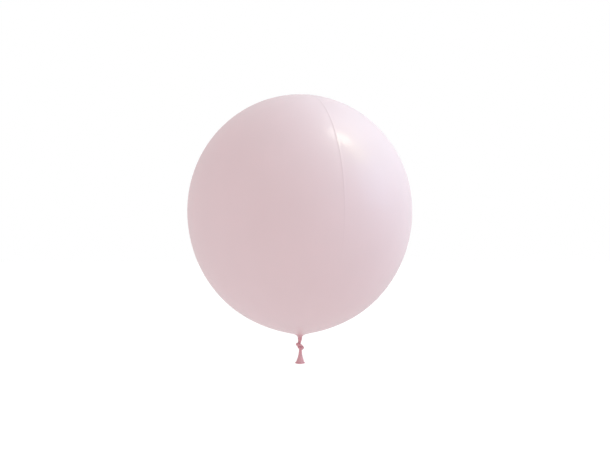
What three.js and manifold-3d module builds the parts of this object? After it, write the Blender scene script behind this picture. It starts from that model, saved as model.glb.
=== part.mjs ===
// A round latex balloon, 18 inches (457 mm) wide, inflated and tied off with an overhand knot in its neck.
//
// Millimetres, +Z up. The origin is the waist of the neck, between the body and the knot, where fingers or
// a ribbon hold it. The body stands above it with its crown straight up, and the tail hangs below the knot.
//
// A balloon is one dipped skin, so its pieces are the stretches of that skin that move or look different:
//   envelope     the inflated film, an open shell down to the ring where the neck's creases begin
//   shoulder     the creased funnel that gathers the film into the neck, and flexes as the balloon leans
//   neck         the pinched, pleated column that is held
//   knot         the overhand knot under it
//   tail         the flared end of the neck below the knot, with its open mouth
//   rolled_lip   the rolled bead around that mouth
//
// Three joints move it. The body leans about X and about Y through one point, LEAN_PIVOT_Z, inside the
// shoulder: the shoulder carries the first lean and the envelope the second. The tail bends about X at
// TAIL_PIVOT_Z, over its flat side.

import * as THREE from "three";
import { mergeVertices } from "three/addons/utils/BufferGeometryUtils.js";
import Module from "manifold-3d";

const wasm = await Module();
wasm.setup();

const { cos, sin, PI } = Math;

// --- driving dimensions -------------------------------------------------------------------------------

const BODY_RADIUS = 457 / 2; // 18 inches across the widest ring
const CROWN_RISE = 237; // from the widest ring up to the crown
const UNDER_DROP = 246; // from the widest ring down to where the round underside would end
const WIDEST_Z = 263; // the widest ring above the waist of the neck
const FILM = 0.3; // wall of the envelope

const DRAW_IN_RADIUS = 100; // the round underside starts to draw in towards the neck here
const DRAW_IN_ANGLE = -Math.acos(DRAW_IN_RADIUS / BODY_RADIUS); // and this far below the widest ring
const DRAW_IN_PULL = 60; // how far that stretch keeps the body's own slope
const NECK_TURN_Z = 14; // the underside turns down into the neck at this height
const NECK_ENTRY_Z = 6; // and is upright at this one
const NECK_ENTRY_RADIUS = 5.5;
const ENVELOPE_ENDS = 0.7; // shares of the drawn-in stretch, from its start
const SHOULDER_STARTS = 0.74;
const SHOULDER_ENDS = 0.92;
const SHOULDER_WALL = 0.8; // gathered film is several layers thick
const LEAN_PIVOT_Z = 8;

const NECK_TOP_Z = 7.2; // just under the pivot
const NECK_RIM_Z = 6.2; // where its side turns over into its domed top
const NECK_RIM_RADIUS = 3.7;
const NECK_WAIST_RADIUS = 3.9;
const NECK_FOOT_Z = -8;
const NECK_FOOT_RADIUS = 4.6;
const PLEATS = 9;
const PLEAT_DEPTH = 0.07; // share of the radius

const KNOT_Z = -14.5;
const KNOT_HALF_HEIGHT = 6.1;
const KNOT_CORE_RADIUS = 6.4;
const WRAP_RADIUS = 5.3; // each turn of the knot, to the middle of its strand
const STRAND_RADIUS = 2.7;
const WRAP_TILT = PI / 6;

const TAIL_PIVOT_Z = -24.4;
const TAIL_ROOT_RADIUS = 3.3;
const TAIL_WAIST_Z = -37; // the tail stays narrow down to about here
const MOUTH_Z = -47;
const MOUTH_RADIUS = 9;
const MOUTH_FLATNESS = 0.72; // depth over width
const TAIL_WALL = 0.8;
const HOLLOW_TOP_Z = -31;
const BEAD_RADIUS = 1.3;
const GAP = 0.3; // between pieces that meet

const BODY_SIDES = 48;
const CROWN_STEPS = 11;
const UNDERSIDE_STEPS = 7;
const DRAW_IN_STEPS = 5;
const SHOULDER_STEPS = 3;
const NECK_STEPS = 5;
const PLEATED_SIDES = PLEATS * 4;
const KNOT_SIDES = 24;
const KNOT_STEPS = 8;
const TAIL_SIDES = 24;
const TAIL_STEPS = 7;
const TAIL_ROOT_STEPS = 5;
const STRAND_SIDES = 8;

// --- materials ----------------------------------------------------------------------------------------

const film = new THREE.MeshStandardMaterial({ color: 0xecd0d5, roughness: 0.38, metalness: 0 });
const thickLatex = new THREE.MeshStandardMaterial({ color: 0xe3a9b2, roughness: 0.45, metalness: 0 });

// --- helpers ------------------------------------------------------------------------------------------

// A profile of (radius, height) points turned round +Z.
function turned(profile, sides) {
  return new THREE.LatheGeometry(profile, sides).rotateX(PI / 2);
}

// The same curve moved sideways by a distance, to the left of its direction.
function beside(points, distance) {
  return points.map((point, i) => {
    const before = points[Math.max(i - 1, 0)];
    const after = points[Math.min(i + 1, points.length - 1)];
    const along = after.clone().sub(before).normalize();
    return new THREE.Vector2(point.x - along.y * distance, point.y + along.x * distance);
  });
}

// Even steps along a curve, from one share of it to another.
function stretchOf(curve, from, to, steps) {
  return Array.from({ length: steps + 1 }, (_, i) => curve.getPoint(from + ((to - from) * i) / steps));
}

function solidOf(geometry) {
  const bare = geometry.clone();
  bare.deleteAttribute("normal");
  bare.deleteAttribute("uv");
  const merged = mergeVertices(bare, 1e-4);
  return new wasm.Manifold(
    new wasm.Mesh({
      numProp: 3,
      vertProperties: new Float32Array(merged.attributes.position.array),
      triVerts: new Uint32Array(merged.index.array),
    }),
  );
}

function geometryOf(solid) {
  const { vertProperties, triVerts } = solid.getMesh();
  const geometry = new THREE.BufferGeometry();
  geometry.setAttribute("position", new THREE.BufferAttribute(vertProperties, 3));
  geometry.setIndex(new THREE.BufferAttribute(triVerts, 1));
  geometry.computeVertexNormals();
  return geometry;
}

function piece(name, geometry, material) {
  const mesh = new THREE.Mesh(geometry, material);
  mesh.name = name;
  return mesh;
}

// A radius that swells and shrinks round the axis, as gathered film does.
function pleated(geometry) {
  const position = geometry.attributes.position;
  for (let i = 0; i < position.count; i++) {
    const turn = Math.atan2(position.getY(i), position.getX(i));
    const swell = 1 + PLEAT_DEPTH * cos(PLEATS * turn);
    position.setXY(i, position.getX(i) * swell, position.getY(i) * swell);
  }
  return geometry;
}

// --- the film's outline -------------------------------------------------------------------------------

// A point of the round body, by its angle above the widest ring.
function bodyPoint(angle) {
  const height = angle > 0 ? CROWN_RISE : UNDER_DROP;
  return new THREE.Vector2(BODY_RADIUS * cos(angle), WIDEST_Z + height * sin(angle));
}

// The underside from the round body, which it leaves at the body's own slope, into the upright neck.
function drawnIn() {
  const start = bodyPoint(DRAW_IN_ANGLE);
  const slope = (-UNDER_DROP * cos(DRAW_IN_ANGLE)) / (BODY_RADIUS * sin(DRAW_IN_ANGLE));
  return new THREE.CubicBezierCurve(
    start,
    new THREE.Vector2(start.x - DRAW_IN_PULL, start.y - DRAW_IN_PULL * slope),
    new THREE.Vector2(NECK_ENTRY_RADIUS, NECK_TURN_Z),
    new THREE.Vector2(NECK_ENTRY_RADIUS, NECK_ENTRY_Z),
  );
}

// --- sub-parts ----------------------------------------------------------------------------------------

function envelope() {
  const crown = Array.from({ length: CROWN_STEPS }, (_, i) => bodyPoint((PI / 2) * (1 - i / CROWN_STEPS)));
  const underside = Array.from({ length: UNDERSIDE_STEPS }, (_, i) =>
    bodyPoint((DRAW_IN_ANGLE * i) / UNDERSIDE_STEPS),
  );
  const outer = [...crown, ...underside, ...stretchOf(drawnIn(), 0, ENVELOPE_ENDS, DRAW_IN_STEPS)];
  const inner = beside(outer, -FILM);
  outer[0].x = 0;
  inner[0].set(0, outer[0].y - FILM);
  return turned([...outer, ...inner.reverse()].reverse(), BODY_SIDES);
}

function shoulder() {
  const outer = stretchOf(drawnIn(), SHOULDER_STARTS, SHOULDER_ENDS, SHOULDER_STEPS);
  const inner = beside(outer, -SHOULDER_WALL);
  return pleated(turned([...outer, ...inner.reverse(), outer[0]].reverse(), PLEATED_SIDES));
}

function neck() {
  const side = new THREE.SplineCurve([
    new THREE.Vector2(NECK_RIM_RADIUS, NECK_RIM_Z),
    new THREE.Vector2(NECK_WAIST_RADIUS, 0),
    new THREE.Vector2(NECK_FOOT_RADIUS, NECK_FOOT_Z),
  ]);
  const top = new THREE.Vector2(0, NECK_TOP_Z);
  const foot = new THREE.Vector2(0, NECK_FOOT_Z);
  return pleated(turned([foot, ...side.getPoints(NECK_STEPS).reverse(), top], PLEATED_SIDES));
}

// Two turns of the strand, tilted opposite ways round the strand that they hold.
function knot() {
  const side = new THREE.EllipseCurve(0, KNOT_Z, KNOT_CORE_RADIUS, KNOT_HALF_HEIGHT, -PI / 2, PI / 2);
  const profile = side.getPoints(KNOT_STEPS);
  profile[0].x = 0;
  profile.at(-1).x = 0;
  const core = solidOf(turned(profile, KNOT_SIDES));
  return geometryOf(
    [-1, 1].reduce((whole, way) => {
      const turn = new THREE.TorusGeometry(WRAP_RADIUS, STRAND_RADIUS, STRAND_SIDES, KNOT_SIDES);
      return whole.add(solidOf(turn.rotateY(way * WRAP_TILT).translate(0, 0, KNOT_Z)));
    }, core),
  );
}

// A solid root, round about the pivot, that opens into the flared mouth.
function tail() {
  const root = new THREE.EllipseCurve(0, TAIL_PIVOT_Z, TAIL_ROOT_RADIUS, TAIL_ROOT_RADIUS, 0, PI / 2);
  const flare = new THREE.QuadraticBezierCurve(
    new THREE.Vector2(MOUTH_RADIUS, MOUTH_Z),
    new THREE.Vector2(TAIL_ROOT_RADIUS, TAIL_WAIST_Z),
    new THREE.Vector2(TAIL_ROOT_RADIUS, TAIL_PIVOT_Z),
  );
  const hollow = new THREE.QuadraticBezierCurve(
    new THREE.Vector2(0, HOLLOW_TOP_Z),
    new THREE.Vector2(TAIL_ROOT_RADIUS, TAIL_WAIST_Z),
    new THREE.Vector2(MOUTH_RADIUS - TAIL_WALL, MOUTH_Z),
  );
  const profile = [
    ...hollow.getPoints(TAIL_STEPS),
    ...flare.getPoints(TAIL_STEPS),
    ...root.getPoints(TAIL_ROOT_STEPS).slice(1),
  ];
  profile.at(-1).x = 0;
  return turned(profile, TAIL_SIDES).scale(1, MOUTH_FLATNESS, 1);
}

function rolledLip() {
  const bead = new THREE.TorusGeometry(MOUTH_RADIUS - TAIL_WALL / 2, BEAD_RADIUS, STRAND_SIDES, TAIL_SIDES);
  return bead.scale(1, MOUTH_FLATNESS, 1).translate(0, 0, MOUTH_Z - GAP - BEAD_RADIUS);
}

// --- the balloon --------------------------------------------------------------------------------------

const balloon = new THREE.Group();
balloon.add(
  piece("envelope", envelope(), film),
  piece("shoulder", shoulder(), thickLatex),
  piece("neck", neck(), thickLatex),
  piece("knot", knot(), thickLatex),
  piece("tail", tail(), thickLatex),
  piece("rolled_lip", rolledLip(), thickLatex),
);

export default balloon;
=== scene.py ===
"""The looks of an 18-inch latex balloon, tied off with an overhand knot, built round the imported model.

Metres, +Z up, with the origin at the waist of the neck. The balloon is one dipped skin, made here as five
pieces: the inflated film, the gathered film of the shoulder and neck, the knot, the tail and its rolled
bead.

Above the waist, the skin is rings round the axis, along the outline of the film. Below it, the skin is one
strand that is gathered, knotted and flared. The strand is made whole, then cut into the foot of the neck,
the knot and the tail, so that its creases run on from piece to piece.
"""

import math

import bpy
import numpy as np
from mathutils import Matrix, Vector


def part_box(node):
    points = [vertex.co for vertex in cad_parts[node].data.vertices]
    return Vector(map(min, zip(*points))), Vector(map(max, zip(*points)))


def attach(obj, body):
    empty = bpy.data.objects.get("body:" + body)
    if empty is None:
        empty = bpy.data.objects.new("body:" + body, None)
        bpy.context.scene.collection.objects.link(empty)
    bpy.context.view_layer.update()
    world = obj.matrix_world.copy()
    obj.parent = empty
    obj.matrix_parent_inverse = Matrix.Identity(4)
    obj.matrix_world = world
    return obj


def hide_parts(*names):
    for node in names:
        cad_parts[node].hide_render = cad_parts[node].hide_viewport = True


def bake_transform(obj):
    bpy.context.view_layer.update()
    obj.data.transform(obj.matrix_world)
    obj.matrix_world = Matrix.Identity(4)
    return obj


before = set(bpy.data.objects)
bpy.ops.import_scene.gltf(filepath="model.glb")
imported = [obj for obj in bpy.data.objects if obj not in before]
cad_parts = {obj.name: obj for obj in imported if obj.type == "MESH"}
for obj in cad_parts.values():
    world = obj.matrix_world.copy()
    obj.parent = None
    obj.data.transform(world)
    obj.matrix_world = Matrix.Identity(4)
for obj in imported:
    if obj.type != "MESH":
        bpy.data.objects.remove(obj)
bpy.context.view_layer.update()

MM = 0.001

# --- driving dimensions, in metres ----------------------------------------------------------------------

envelope_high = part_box("envelope")[1]
knot_low, knot_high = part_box("knot")
tail_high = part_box("tail")[1]
lip_low, lip_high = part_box("rolled_lip")

# The outline of the film, from the crown down to the waist of the neck.
BODY_RADIUS = envelope_high.x
CROWN_Z = envelope_high.z
WIDEST_Z = 263 * MM
UNDER_DROP = 246 * MM  # from the widest ring down to where the round underside would end
DRAW_IN_RADIUS = 100 * MM  # the round underside starts to draw in towards the neck here
DRAW_IN_PULL = 60 * MM  # how far that stretch keeps the body's own slope
NECK_TURN_Z = 16 * MM  # it turns down into the neck at this height
WAIST_Z = 2 * MM
WAIST_RADIUS = 3.9 * MM

# Walls, and how the pieces of the skin meet.
FILM = 0.3 * MM
GATHERED_WALL = 1.0 * MM
TAIL_WALL = 0.4 * MM
SPLIT = 8 * MM  # up the film from the waist to the envelope's hem, where the neck's piece meets it
LAP = 1.5 * MM  # the neck's film runs on this far up inside the hem
LAP_DEPTH = 0.5 * MM
FLUSH = 0.02 * MM  # how far below its neighbour's surface a piece starts, where one runs inside the other
HEM_FLUSH = 1 * MM  # the neck's film steps down by FLUSH this far below the hem
KNOT_FLUSH = 1.5 * MM  # the knot comes up by FLUSH over this length at each end
KNOT_OVERLAP = 2  # rings that the knot runs on inside the neck, and inside the tail
FUNNEL_FOOT = 4 * MM  # up the film to where the inside of the neck's funnel ends

# How far the latex is from being stretched thin: 1 at the knot, and almost 0 on the body.
NECK_THICKNESS = [(0.7, 12 * MM), (0.3, 50 * MM)]  # shares of it, and how far up the film each one fades
MOUTH_THICKNESS = 0.88
TAIL_THINS_OVER = 2 / 3  # of the tail
CROWN_SPOT = 0.3
CROWN_SPOT_RADIUS = 7 * MM
CROWN_SPOT_EDGE = 12 * MM  # it fades out over this much more

# The mould line, down one side of the body.
MOULD_LINE_TURN = math.radians(-90 + 19.5)  # round +Z from +X
MOULD_LINE_HALF_WIDTH = 0.65 * MM
MOULD_LINE_HEIGHT = 0.2 * MM
MOULD_LINE_TOP = 15 * MM  # down the film from the crown to where it starts
MOULD_LINE_TOP_FADE = 30 * MM
MOULD_LINE_FOOT = 0.3  # share of the way up the film to where it ends
MOULD_LINE_FOOT_FADE = 0.5

# Creases. A set of them is a count round a ring, a depth, and a start in radians.
RIDGE_SOFTNESS = 0.012
RIDGE_MIDDLE = 0.65  # about a ridge's mean height, taken off so that the skin keeps its radius
NECK_CREASES = [  # each set with how far up the film it fades
    ((5, 0.35 * MM, 0.4), 34 * MM),
    ((9, 0.70 * MM, 1.1), 14 * MM),
    ((14, 0.40 * MM, 2.3), 9 * MM),
    ((23, 0.14 * MM, 0.2), 6 * MM),
]
NECK_CREASES_FULL = 3 * MM  # up the film to where they start to fade
KNOT_CREASES = [(3, 0.22 * MM, 0.6), (16, 0.10 * MM, 0.3)]
TAIL_CREASES = [(9, 0.40 * MM, 0.5), (14, 0.16 * MM, 1.9)]
TAIL_CREASES_KEPT = 0.35  # share of their depth that doesn't fade towards the mouth
UNGATHERING = 3  # how fast the rest fades
NECK_TWIST = 1.1  # radians that the creases turn on their way down the neck
NECK_TWIST_TOP = 16 * MM  # up the film to where they start to turn
NECK_TWIST_LENGTH = 26 * MM
STRAND_TWIST = 1 / (28 * MM)  # radians a metre that they turn on their way down the strand

# Unevenness. A wave is a height, a count round a ring or a rate down the strand, and a start in radians.
NECK_WANDER = [(0.22, 1, 1.3), (0.13, 2, 0.4)]  # of where the creases are, in radians
STRAND_WANDER = [(0.25, 1, 9 * MM), (0.1, 2, 5 * MM)]  # the same, but starts grow by 1 over these lengths
STRAND_SWELLS = [(0.07, 1 / (8 * MM), 0.8), (0.03, 1 / (2.6 * MM), 0)]  # of the strand's thickness
MOUTH_LOBES = [(0.55 * MM, 3, 0.9), (0.3 * MM, 5, 2.4)]
BEAD_WAVES = [(0.035, 5, 1), (0.02, 11, 0)]  # of its thickness

# The strand, and the knot in it.
STRAND = 5.2 * MM  # thickness of the gathered skin in the knot
STRAND_MEAN = 1.05  # its mean thickness, as a share of that
KNOTTED_BY = 10 * MM  # down from the waist to where the neck is as thin as the strand
STRAND_STEP = 0.3 * MM
SMOOTHINGS = 12
KNOT_Z = (knot_low.z + knot_high.z) / 2
NECK_FOOT_Z = knot_high.z  # the neck's film ends here
NECK_LEAVES_Z = 0.5 * MM  # the strand leaves the axis here, on its way into the knot
NECK_LEAVES_LENGTH = 9 * MM  # and is on the knot's own path this much lower
OTHER_TURN = 1.5 * STRAND  # points further apart than this along the strand are on different turns
TURN_REACH = 1.3 * STRAND  # and press on each other if they are closer than this
TURN_GAP = 0.03 * MM

# Tying the knot: a loose one is pulled tight, in rounds.
KNOT_LENGTH = 86 * MM  # of strand
KNOT_POINTS = 96
LOOSE_END = 2.25  # the loose knot's curve runs from minus this to this
LOOSE_RISE = 0.42
KNOT_ROUNDS = 1400
PULL = 0.12  # share of a link that each end moves out in a round
ENDS_CENTRING = 0.1  # share of the way back to the axis, for the ends and for the whole knot
KNOT_CENTRING = 0.03
STIFFNESS = 0.1  # share of the way from a bend to a straight line
SETTLINGS = 6  # times in a round that lengths and contacts are put right
CONTACT = 0.86 * STRAND  # squeezed turns sit closer than the strand's own thickness
SAME_TURN = 1.35 * STRAND  # points that are closer than this along the strand don't push each other

# The tail, and the bead round its mouth.
TAIL_TOP_Z = KNOT_Z - 6.2 * MM
TAIL_CENTRED_Z = -36 * MM  # the strand is back on the axis here
TAIL_CENTRED_LENGTH = 14 * MM  # having come back to it over this length
TAIL_SWAY = 0.7 * MM
HOLLOW_TOP_Z = -31 * MM
PINCH = 0.1  # the hollow closes to this share of its width
PINCH_RISE = 1.0 * MM
FLARE_STRAIGHT = 0.22  # share of the flare that is a plain taper
FLARE_POWER = 2.1
LOBE_POWER = 1.5
FLATTENING = 1.1  # over 1, so that the tail is as flat as its mouth from a little above it
MOUTH_HALF_WIDTH = tail_high.x
MOUTH_FLATNESS = tail_high.y / tail_high.x
BEAD_RADIUS = (lip_high.z - lip_low.z) / 2
BEAD_Z = (lip_high.z + lip_low.z) / 2
GROOVE_DEPTH = 0.13  # share of the bead's radius
GROOVE_PLACE = 2.3  # in radians round the bead's section, here and below
GROOVE_WIDTH = 0.28
EDGE_Z = BEAD_Z + 0.4 * MM  # the tail's wall ends here, inside the bead

# How fine the meshes are.
SIDES = 256  # round the body
TURNS = np.linspace(0, 2 * math.pi, 120, endpoint=False)  # round the neck, the knot and the tail
BEAD_TURNS = np.linspace(0, 2 * math.pi, 28, endpoint=False)  # round the bead's section
OUTLINE_POINTS = 400  # along each of the outline's three stretches
CROWN_RING = 1.5 * MM  # from the crown to the ring nearest to it
STEP_GROWTH = 0.04  # steps up the film are this share of the distance from the waist, within limits
SMALLEST_STEP = 0.3 * MM
NECK_STEP = 0.5 * MM
BODY_STEP = 4.5 * MM
FOLD_ANGLE = math.radians(75)  # edges sharper than this aren't shaded smooth

# --- camera ---------------------------------------------------------------------------------------------

CAMERA_DISTANCE = 5.5 * BODY_RADIUS
CAMERA_BELOW = math.radians(2)  # it looks slightly up at the widest ring
CAMERA_PITCH = math.radians(0.72)
CAMERA_YAW = math.radians(-0.48)
LENS = 35.9


def add_camera():
    data = bpy.data.cameras.new("camera")
    data.sensor_width = 36
    data.lens = LENS
    camera = bpy.data.objects.new("camera", data)
    camera.location = (
        0,
        -CAMERA_DISTANCE * math.cos(CAMERA_BELOW),
        WIDEST_Z - CAMERA_DISTANCE * math.sin(CAMERA_BELOW),
    )
    camera.rotation_euler = (math.pi / 2 + CAMERA_PITCH, 0, CAMERA_YAW)
    bpy.context.scene.collection.objects.link(camera)
    bpy.context.scene.camera = camera


# --- materials ------------------------------------------------------------------------------------------

FILM_PINK = (0.797, 0.636, 0.658, 1)
THICK_PINK = (0.70, 0.36, 0.40, 1)
MOULD_PINK = (0.64, 0.49, 0.51, 1)
GLOW_PINK = (0.90, 0.62, 0.64, 1)  # of light that comes through the film
THICK_GLOW_PINK = (0.80, 0.38, 0.42, 1)

ROUGHNESS = 0.5
LIGHT_LET_THROUGH = 0.3
GRAIN = 0.9 * MM
DIMPLE = 7.5 * MM
GRAIN_DEPTH = 0.02 * MM
GRAIN_SHARE = 0.5  # of the dimples' depth

# Faint noises over the surface: cells a metre, and how far each one moves what it changes.
CLOUDS = (9, 0.025)
STREAKS = (26, 0.015)
STREAK_STRETCH = 0.06  # cells a metre down the film, beside those across it
GLOSS_PATCHES = (60, 0.03)


class Nodes:
    """Short calls for building a material's node tree."""

    def __init__(self, name):
        self.material = bpy.data.materials.new(name)
        self.material.use_nodes = True
        self.tree = self.material.node_tree
        self.tree.nodes.clear()

    def add(self, kind, inputs=None, **settings):
        node = self.tree.nodes.new(kind)
        for key, value in settings.items():
            setattr(node, key, value)
        for key, value in (inputs or {}).items():
            self.put(node, key, value)
        return node

    def put(self, node, key, value):
        if isinstance(value, bpy.types.NodeSocket):
            self.tree.links.new(value, node.inputs[key])
        else:
            node.inputs[key].default_value = value

    def attribute(self, name):
        return self.add("ShaderNodeAttribute", attribute_name=name).outputs["Fac"]

    def math(self, operation, a, b):
        return self.add("ShaderNodeMath", {0: a, 1: b}, operation=operation).outputs[0]

    def place(self):
        return self.add("ShaderNodeTexCoord").outputs["Object"]

    def noise(self, scale, detail, vector=None):
        inputs = {"Scale": scale, "Detail": detail, "Vector": vector or self.place()}
        return self.add("ShaderNodeTexNoise", inputs).outputs["Fac"]

    def varied(self, middle, noise, spread):
        """A number that a noise moves up and down from its middle value."""
        inputs = {"Value": noise, "To Min": middle - spread, "To Max": middle + spread}
        return self.add("ShaderNodeMapRange", inputs).outputs[0]

    def mixed(self, share, a, b, blend="MIX"):
        node = self.add("ShaderNodeMix", data_type="RGBA", blend_type=blend)
        for key, value in ((0, share), (6, a), (7, b)):
            self.put(node, key, value)
        return node.outputs[2]


def latex(name):
    """Dipped latex, paler where it is stretched, with faint streaks from the dip and a fine grain."""
    n = Nodes(name)
    thick = n.attribute("thick")
    stretched = n.mixed(thick, FILM_PINK, THICK_PINK)
    lined = n.mixed(n.attribute("mould_line"), stretched, MOULD_PINK)

    cloud_scale, cloud_spread = CLOUDS
    cloud = n.varied(1, n.noise(cloud_scale, detail=3), cloud_spread)
    streak_scale, streak_spread = STREAKS
    flat = n.add("ShaderNodeMapping", {"Vector": n.place(), "Scale": (1, 1, STREAK_STRETCH)}).outputs[0]
    streak = n.varied(1, n.noise(streak_scale, detail=2, vector=flat), streak_spread)
    tone = n.math("MULTIPLY", cloud, streak)
    tone_rgb = n.add("ShaderNodeCombineColor", {"Red": tone, "Green": tone, "Blue": tone}).outputs[0]
    colour = n.mixed(1.0, lined, tone_rgb, "MULTIPLY")

    grain = n.math("MULTIPLY", n.noise(1 / GRAIN, detail=3), GRAIN_SHARE)
    height = n.math("ADD", grain, n.noise(1 / DIMPLE, detail=2))
    relief = {"Height": height, "Distance": GRAIN_DEPTH, "Strength": 0.6}
    bump = n.add("ShaderNodeBump", relief).outputs[0]

    gloss_scale, gloss_spread = GLOSS_PATCHES
    surface = n.add(
        "ShaderNodeBsdfPrincipled",
        {
            "Base Color": colour,
            "Roughness": n.varied(ROUGHNESS, n.noise(gloss_scale, detail=2), gloss_spread),
            "IOR": 1.52,
            "Coat Weight": 0.3,
            "Coat Roughness": 0.16,
            "Normal": bump,
        },
    )
    through = n.add(
        "ShaderNodeBsdfTranslucent",
        {"Color": n.mixed(thick, GLOW_PINK, THICK_GLOW_PINK), "Normal": bump},
    )
    both = n.add(
        "ShaderNodeMixShader",
        {0: LIGHT_LET_THROUGH, 1: surface.outputs[0], 2: through.outputs[0]},
    )
    n.add("ShaderNodeOutputMaterial", {"Surface": both.outputs[0]})
    return n.material


# --- mesh building --------------------------------------------------------------------------------------


def lofted(name, rings, attributes, material, capped=True):
    """A mesh through rings of points, from top to bottom, each counterclockwise from above.

    Capped, its two ends close on their centres. Otherwise the last ring joins the first.
    """
    rings = np.asarray(rings)
    count, sides = rings.shape[:2]
    points = rings.reshape(-1, 3)
    values = {
        key: np.broadcast_to(value, (count, sides)).reshape(-1)
        for key, value in attributes.items()
    }
    row = np.arange(count - 1 if capped else count)[:, None]
    side = np.arange(sides)[None, :]
    here = row * sides
    below = (row + 1) % count * sides
    after = (side + 1) % sides
    quads = np.stack([here + side, below + side, below + after, here + after], -1)
    faces = quads.reshape(-1, 4).tolist()
    if capped:
        for ring, turn in ((0, 1), (count - 1, -1)):
            centre = len(points)
            points = np.vstack([points, rings[ring].mean(0)])
            values = {key: np.append(value, value[ring * sides]) for key, value in values.items()}
            for k in range(sides):
                edge = [ring * sides + k, ring * sides + (k + 1) % sides]
                faces.append([centre, *edge[::turn]])
    mesh = bpy.data.meshes.new(name)
    mesh.from_pydata(points.tolist(), [], faces)
    mesh.polygons.foreach_set("use_smooth", [True] * len(mesh.polygons))
    for key, value in values.items():
        attribute = mesh.attributes.new(key, "FLOAT", "POINT")
        attribute.data.foreach_set("value", value.astype(np.float32))
    mesh.set_sharp_from_angle(angle=FOLD_ANGLE)
    mesh.materials.append(material)
    piece = bpy.data.objects.new(name, mesh)
    bpy.context.scene.collection.objects.link(piece)
    return piece


def eased(x):
    """0 up to 0, 1 from 1 on, and a smooth step in between."""
    x = np.clip(x, 0, 1)
    return x * x * (3 - 2 * x)


def waved(place, waves):
    """Sum of sine waves at a place round a ring or down the strand."""
    return sum(height * np.sin(count * place + start) for height, count, start in waves)


def creased(place, creases):
    """Height of sets of rounded ridges at a place round a ring."""
    total = 0
    for count, depth, start in creases:
        ridge = np.sqrt(np.cos(count * place / 2 + start) ** 2 + RIDGE_SOFTNESS)
        total = total + depth * (ridge - RIDGE_MIDDLE)
    return total


def bezier(points, steps):
    """Points along a cubic curve through the first and last of its four control points."""
    t = np.linspace(0, 1, steps)[:, None]
    a, b, c, d = np.asarray(points, float)
    return (1 - t) ** 3 * a + 3 * (1 - t) ** 2 * t * b + 3 * (1 - t) * t**2 * c + t**3 * d


def lengths(points):
    """Distance along a line of points, from its first."""
    return np.concatenate([[0], np.cumsum(np.linalg.norm(np.diff(points, axis=0), axis=1))])


def at_lengths(points, wanted):
    """The points at wanted distances along a line of points."""
    along = lengths(points)
    return np.stack([np.interp(wanted, along, points[:, k]) for k in range(points.shape[1])], 1)


# --- the film above the waist of the neck ---------------------------------------------------------------


def film_outline():
    """(radius, height) points of the film, from the waist of the neck up to the crown."""
    draw_in = -math.acos(DRAW_IN_RADIUS / BODY_RADIUS)
    top = np.linspace(math.pi / 2, 0, OUTLINE_POINTS)
    under = np.linspace(0, draw_in, OUTLINE_POINTS)
    crown = np.stack([BODY_RADIUS * np.cos(top), WIDEST_Z + (CROWN_Z - WIDEST_Z) * np.sin(top)], 1)
    underside = np.stack([BODY_RADIUS * np.cos(under), WIDEST_Z + UNDER_DROP * np.sin(under)], 1)
    slope = UNDER_DROP * math.cos(draw_in) / (-BODY_RADIUS * math.sin(draw_in))
    start = underside[-1]
    drawn_in = bezier(
        [
            start,
            start - DRAW_IN_PULL * np.array([1, slope]),
            (WAIST_RADIUS, NECK_TURN_Z),
            (WAIST_RADIUS, WAIST_Z),
        ],
        OUTLINE_POINTS,
    )
    line = np.vstack([crown, underside[1:], drawn_in[1:]])[::-1]
    line[-1, 0] = 0
    return line


OUTLINE = film_outline()
CROWN_UP = lengths(OUTLINE)[-1]


def columns():
    """Turns round the body: evenly spaced, with extra ones along the mould line."""
    even = np.arange(SIDES) * 2 * math.pi / SIDES - math.pi
    step = MOULD_LINE_HALF_WIDTH / BODY_RADIUS
    line = MOULD_LINE_TURN + step * np.arange(-2, 3)
    clear = np.abs(even - MOULD_LINE_TURN) > 3 * step
    return np.sort(np.concatenate([even[clear], line]))


def neck_creases(turn, up):
    """Height of the creases at a turn round the neck and a distance up the film from its waist."""
    swirl = NECK_TWIST * eased((NECK_TWIST_TOP - up) / NECK_TWIST_LENGTH)
    place = turn + swirl + waved(turn, NECK_WANDER)
    above = np.maximum(up - NECK_CREASES_FULL, 0)
    return sum(creased(place, [crease]) * np.exp(-above / reach) for crease, reach in NECK_CREASES)


def mould_line(turns, up):
    """1 along the mould line, which starts clear of the crown's spot and is gone below the widest ring."""
    off = np.abs(turns - MOULD_LINE_TURN) * BODY_RADIUS / MOULD_LINE_HALF_WIDTH
    from_foot = eased((up / CROWN_UP - MOULD_LINE_FOOT) / MOULD_LINE_FOOT_FADE)
    from_top = eased((CROWN_UP - up - MOULD_LINE_TOP) / MOULD_LINE_TOP_FADE)
    return (1 - eased(off / 2)) * from_foot * from_top


def thickness(up):
    """1 where the latex isn't stretched, falling to 0 on the film, with a thicker spot on the crown."""
    up = np.maximum(up, 0)
    near = sum(share * np.exp(-up / reach) for share, reach in NECK_THICKNESS)
    off_spot = eased((CROWN_UP - up - CROWN_SPOT_RADIUS) / CROWN_SPOT_EDGE)
    return near + CROWN_SPOT * (1 - off_spot)


def film_rings(up, turns, depth=0.0):
    """Rings of the film at distances up from its waist, sunk by a depth, with their attributes."""
    line = at_lengths(OUTLINE, up)
    step = 0.2 * MM
    along = at_lengths(OUTLINE, up + step) - at_lengths(OUTLINE, up - step)
    along /= np.linalg.norm(along, axis=1)[:, None]
    up = up[:, None]
    ridge = mould_line(turns, up)
    raised = neck_creases(turns, up) + MOULD_LINE_HEIGHT * ridge - depth
    radius = line[:, :1] + raised * along[:, 1:]
    height = line[:, 1:] - raised * along[:, :1]
    rings = np.stack([radius * np.cos(turns), radius * np.sin(turns), height], -1)
    return rings, {"thick": np.broadcast_to(thickness(up), ridge.shape), "mould_line": ridge}


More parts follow.
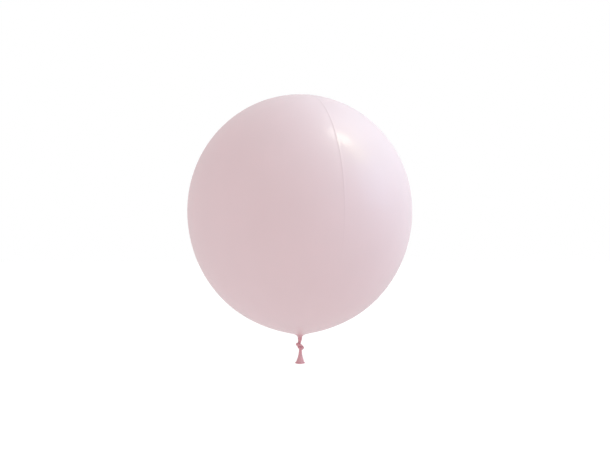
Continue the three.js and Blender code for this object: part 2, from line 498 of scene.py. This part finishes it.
def graded(start, end, largest):
    """Distances up the film from start to end, whose steps grow with the distance from the waist."""
    found = [start]
    while found[-1] < end:
        found.append(found[-1] + min(max(STEP_GROWTH * found[-1], SMALLEST_STEP), largest))
    scale = (end - start) / (found[-1] - start)
    return start + (np.array(found) - start) * scale


# --- the strand below the waist: through the knot and down the tail -------------------------------------


def keep_lengths(p, link):
    """Moves each point of a line a link's length from the next one, in place."""
    for first in (0, 1):
        ends = slice(first, first + 2 * ((len(p) - first) // 2))
        pairs = p[ends].reshape(-1, 2, 3)
        gap = pairs[:, 1] - pairs[:, 0]
        size = np.linalg.norm(gap, axis=1, keepdims=True)
        shift = (size - link) / size * gap / 2
        p[ends] = np.stack([pairs[:, 0] + shift, pairs[:, 1] - shift], 1).reshape(-1, 3)


def push_apart(p, a, b):
    """Moves the pairs of points a and b of a line away from each other where they touch, in place."""
    gap = p[b] - p[a]
    size = np.linalg.norm(gap, axis=1)
    near = size < CONTACT
    shift = gap[near] * ((CONTACT - size[near]) / size[near] / 2)[:, None]
    push = np.zeros_like(p)
    touches = np.zeros(len(p))
    for end, way in ((a[near], -1), (b[near], 1)):
        np.add.at(push, end, way * shift)
        np.add.at(touches, end, 1)
    p += push / np.maximum(touches, 1)[:, None]


def tight_knot():
    """The middle line of a strand pulled tight in an overhand knot, found by pulling a loose one."""
    # Three polynomials draw the loose knot round the axis.
    t = np.linspace(-LOOSE_END, LOOSE_END, KNOT_POINTS)
    loose = np.stack([t**3 - 3 * t, t**4 - 4 * t**2, -LOOSE_RISE * (t**5 - 10 * t)], 1)
    along = lengths(loose)
    p = at_lengths(loose, np.linspace(0, along[-1], KNOT_POINTS)) * KNOT_LENGTH / along[-1]
    p -= p.mean(0)
    link = KNOT_LENGTH / (KNOT_POINTS - 1)
    a, b = np.triu_indices(KNOT_POINTS, k=math.ceil(SAME_TURN / link))
    middle = slice(KNOT_POINTS // 5, -(KNOT_POINTS // 5))
    for _ in range(KNOT_ROUNDS):
        p[0, 2] += PULL * link
        p[-1, 2] -= PULL * link
        p[[0, -1], :2] *= 1 - ENDS_CENTRING
        p[:, :2] -= KNOT_CENTRING * p[middle, :2].mean(0)
        p[1:-1] += STIFFNESS * (0.5 * (p[:-2] + p[2:]) - p[1:-1])
        for _ in range(SETTLINGS):
            keep_lengths(p, link)
            push_apart(p, a, b)
    return p


def strand_middle():
    """The strand's middle line: off the axis into the knot, through it, and back to the axis below."""
    path = tight_knot() + (0, 0, KNOT_Z)
    upper, lower = np.array_split(path, 2)
    upper = upper[upper[:, 2] < NECK_LEAVES_Z]
    lower = lower[lower[:, 2] > TAIL_CENTRED_Z]
    upper[:, :2] *= eased((NECK_LEAVES_Z - upper[:, 2:]) / NECK_LEAVES_LENGTH)
    lower[:, :2] *= eased((lower[:, 2:] - TAIL_CENTRED_Z) / TAIL_CENTRED_LENGTH)
    neck = [(0, 0, WAIST_Z), (0, 0, NECK_LEAVES_Z)]
    tail = [(0, 0, TAIL_CENTRED_Z), (0, 0, EDGE_Z)]
    path = np.vstack([neck, upper, lower, tail])
    along = lengths(path)
    path = at_lengths(path, np.linspace(0, along[-1], round(along[-1] / STRAND_STEP)))
    for _ in range(SMOOTHINGS):
        path[1:-1] += 0.5 * (0.5 * (path[:-2] + path[2:]) - path[1:-1])
    return path


def framed(path):
    """Two directions across a path at each point, carried along it without spinning."""
    along = np.gradient(path, axis=0)
    along /= np.linalg.norm(along, axis=1)[:, None]
    across = np.zeros_like(path)
    side = np.array([1.0, 0, 0])
    for k, direction in enumerate(along):
        side = side - direction * (side @ direction)
        side /= np.linalg.norm(side)
        across[k] = side
    return across, np.cross(across, along)


def strand_radius(down, share, turns):
    """Radius round the strand, by distance down from the waist and share of the way down the tail."""
    knotted = eased(down / KNOTTED_BY)
    strand = STRAND / 2 * (STRAND_MEAN + waved(down, STRAND_SWELLS))
    flare = FLARE_STRAIGHT * share + (1 - FLARE_STRAIGHT) * share**FLARE_POWER
    radius = WAIST_RADIUS + (strand - WAIST_RADIUS) * knotted
    radius = radius + (MOUTH_HALF_WIDTH - radius) * flare

    wander = waved(turns, [(height, count, down / length) for height, count, length in STRAND_WANDER])
    place = turns + STRAND_TWIST * down + wander
    gathered = np.exp(-UNGATHERING * share)
    kept = TAIL_CREASES_KEPT + (1 - TAIL_CREASES_KEPT) * gathered
    folds = creased(place, KNOT_CREASES) * gathered + creased(place, TAIL_CREASES) * kept
    folds = neck_creases(turns, -down) * (1 - knotted) + folds * knotted
    lobes = sum(height * np.cos(count * turns + start) for height, count, start in MOUTH_LOBES)
    return radius + folds + lobes * share**LOBE_POWER


def squeezed(rings, path, down):
    """Each ring's points stop at the plane halfway to whichever other turn of the path they meet."""
    out = rings.copy()
    for k, centre in enumerate(path):
        apart = path - centre
        size = np.linalg.norm(apart, axis=1)
        met = (np.abs(down - down[k]) > OTHER_TURN) & (size < TURN_REACH)
        for way, distance in zip(apart[met], size[met]):
            way = way / distance
            past = (out[k] - centre) @ way - distance / 2 + TURN_GAP
            out[k] -= np.maximum(past, 0)[:, None] * way
    return out


def whole_strand():
    """Rings of the strand's outside and of its inside, from the waist down to the edge of the mouth.

    With them come the strand's middle line, and each ring's share of the way down the tail.
    """
    path = strand_middle()
    down = lengths(path)
    tail_from = down[path[:, 2] > TAIL_TOP_Z][-1]
    share = np.clip((down - tail_from) / (down[-1] - tail_from), 0, 1)
    first, second = framed(path)
    across = np.cos(TURNS)[:, None] * first[:, None] + np.sin(TURNS)[:, None] * second[:, None]
    radius = strand_radius(down[:, None], share[:, None], TURNS)
    full = np.ones_like(share)
    flat = np.stack([full, 1 + (MOUTH_FLATNESS - 1) * eased(share * FLATTENING), full], 1)
    sway = np.outer(np.sin(math.pi * share), (TAIL_SWAY, 0, 0))
    middle = (path + sway)[:, None]
    outside = squeezed(path[:, None] + radius[..., None] * across, path, down) - path[:, None]
    inside = (radius - TAIL_WALL)[..., None] * across
    return middle + outside * flat[:, None], middle + inside * flat[:, None], path, share


# --- pieces ---------------------------------------------------------------------------------------------


def envelope_film(material):
    """The inflated film, an outer and a coarser inner face from the crown down to a shared hem."""
    turns = columns()
    up = graded(SPLIT, CROWN_UP - CROWN_RING, BODY_STEP)
    outer, values = film_rings(up, turns)
    inner, inner_values = film_rings(up[::2], turns, FILM)
    rings = np.vstack([outer[::-1], inner])
    values = {key: np.vstack([value[::-1], inner_values[key]]) for key, value in values.items()}
    piece = lofted("envelope_film", rings, values, material)
    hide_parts("envelope")
    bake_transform(piece)


def neck_film(material, strand):
    """The gathered film: a funnel that starts inside the envelope's hem, and the neck down to the knot."""
    up = graded(0, SPLIT + LAP, NECK_STEP)[1:]
    depth = FLUSH * (up > SPLIT - HEM_FLUSH) + LAP_DEPTH * eased((up - SPLIT) / LAP)
    outer, values = film_rings(up, TURNS, depth[:, None])
    funnel = up > FUNNEL_FOOT
    inner, inner_values = film_rings(up[funnel], TURNS, depth[funnel, None] + GATHERED_WALL)
    rings = np.vstack([inner, outer[::-1], strand])
    thick = np.vstack([inner_values["thick"], values["thick"][::-1], np.ones(strand.shape[:2])])
    piece = lofted("neck_film", rings, {"thick": thick, "mould_line": 0.0}, material)
    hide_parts("shoulder", "neck")
    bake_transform(piece)


def overhand_knot(material, strand):
    """The strand through the knot. Its ends are a little thinner, and lie inside the neck and the tail."""
    ring = np.arange(len(strand))
    from_end = np.minimum(ring, ring[::-1]) * STRAND_STEP
    thinner = FLUSH / (STRAND / 2) * (1 - eased(from_end / KNOT_FLUSH))
    middle = strand.mean(1, keepdims=True)
    rings = middle + (strand - middle) * (1 - thinner[:, None, None])
    piece = lofted("overhand_knot", rings, {"thick": 1.0, "mould_line": 0.0}, material)
    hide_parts("knot")
    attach(piece, "neck")


def tail_film(material, strand, inner):
    """The flared end of the neck: a thin wall, open at the mouth and pinched shut up inside."""
    top = inner[0].mean(0)
    pinch = top + (inner[0] - top) * PINCH + (0, 0, PINCH_RISE)
    rings = np.vstack([strand, inner[::-1], pinch[None]])
    thinned = eased(np.linspace(0, 1, len(strand)) / TAIL_THINS_OVER)
    outer_thick = 1 - (1 - MOUTH_THICKNESS) * thinned
    thick = np.concatenate([outer_thick, np.full(len(inner) + 1, MOUTH_THICKNESS)])
    piece = lofted("tail_film", rings, {"thick": thick[:, None], "mould_line": 0.0}, material)
    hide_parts("tail")
    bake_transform(piece)


def rolled_bead(material, edge):
    """The lip: the film's edge rolled on itself, so its section has a groove where the roll ends."""
    middle = edge.copy()
    middle[:, 2] = BEAD_Z
    outward = middle - middle.mean(0)
    outward /= np.linalg.norm(outward, axis=1)[:, None]
    groove = 1 - GROOVE_DEPTH * np.exp(-(((BEAD_TURNS - GROOVE_PLACE) / GROOVE_WIDTH) ** 2))
    uneven = 1 + waved(TURNS, BEAD_WAVES)
    rings = []
    for angle, cut in zip(BEAD_TURNS, groove):
        reach = BEAD_RADIUS * cut * uneven[:, None]
        way = math.cos(angle) * outward - math.sin(angle) * np.array([0, 0, 1])
        rings.append(middle + reach * way)
    piece = lofted("rolled_bead", rings, {"thick": 1.0, "mould_line": 0.0}, material, capped=False)
    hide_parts("rolled_lip")
    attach(piece, "tail")


# --- the studio -----------------------------------------------------------------------------------------

FLOOR_Z = -1.3  # well below the tail
FLOOR_SIZE = 60


def area_light(name, place, long_way, size, power, colour):
    """A soft light at a place measured from the body's middle, facing it, its longer side along a way."""
    data = bpy.data.lights.new(name, "AREA")
    data.shape = "RECTANGLE"
    data.size, data.size_y = size
    data.energy = power
    data.color = colour
    light = bpy.data.objects.new(name, data)
    place = Vector(place)
    back = place.normalized()
    side = back.cross(Vector(long_way)).normalized()
    light.location = Vector((0, 0, WIDEST_Z)) + place
    light.rotation_euler = Matrix((side.cross(back), side, back)).transposed().to_euler()
    light.visible_camera = False
    bpy.context.scene.collection.objects.link(light)
    return light


def add_lights():
    """A window and a side light on the right, a weak fill on the left, and three lights for highlights."""
    window = area_light("window", (1.5, 0.2, 1.5), (0, 1, 0), (2.6, 2.2), 50, (0.60, 0.95, 1.0))
    area_light("side", (2.0, -0.4, 0.7), (0, 1, 0), (1.3, 1.3), 10, (0.4, 0.68, 1.0))
    fill = area_light("fill", (-1.9, -1.0, -0.1), (0, 1, 0), (1.2, 1.2), 2.5, (0.6, 1.0, 1.0))
    for unreflected in (window, fill):
        unreflected.visible_glossy = False

    slant = (0.85, -0.1, -0.51)
    top = area_light("top", (1.1, 0.15, 1.9), (1, 0, 0), (1.2, 1.2), 5, (1.0, 1.0, 1.0))
    strip = area_light("strip", (0.97, -0.36, 1.72), slant, (0.6, 0.32), 9, (1.0, 1.0, 0.84))
    glow = area_light("glow", (1.3, -0.37, 1.5), slant, (0.9, 0.5), 5, (0.85, 1.0, 0.35))
    for highlight in (top, strip, glow):
        highlight.visible_diffuse = False


def add_studio():
    """White surroundings, the lights and a plain pale floor."""
    world = bpy.data.worlds.new("studio")
    world.use_nodes = True
    background = world.node_tree.nodes["Background"]
    background.inputs["Color"].default_value = (1, 1, 1, 1)
    background.inputs["Strength"].default_value = 1.0
    bpy.context.scene.world = world
    bpy.context.scene.view_settings.view_transform = "Standard"
    add_lights()

    bpy.ops.mesh.primitive_plane_add(size=FLOOR_SIZE, location=(0, 0, FLOOR_Z))
    floor = bpy.context.object
    floor.name = "floor"
    n = Nodes("floor_white")
    paint = n.add(
        "ShaderNodeBsdfPrincipled",
        {
            "Base Color": (0.25, 0.25, 0.25, 1),
            "Roughness": 0.9,
            "Emission Color": (1, 1, 1, 1),
            "Emission Strength": 0.78,
        },
    )
    n.add("ShaderNodeOutputMaterial", {"Surface": paint.outputs[0]})
    floor.data.materials.append(n.material)


# --- the balloon ----------------------------------------------------------------------------------------

add_camera()
add_studio()

# One look under three names, so that each slot can be given its own later.
film = latex("latex_film")
gathered = latex("latex_gathered")
thick = latex("latex_thick")

outside, inside, path, share = whole_strand()
into_knot = np.nonzero(path[:, 2] < NECK_FOOT_Z)[0][0]
out_of_knot = np.nonzero(share > 0)[0][0]
hollow = (path[:, 2] < HOLLOW_TOP_Z) & (share > 0)

envelope_film(film)
neck_film(gathered, outside[: into_knot + 1])
overhand_knot(thick, outside[into_knot - KNOT_OVERLAP : out_of_knot + KNOT_OVERLAP + 1])
tail_film(thick, outside[out_of_knot:], inside[hollow])
rolled_bead(thick, (outside[-1] + inside[-1]) / 2)
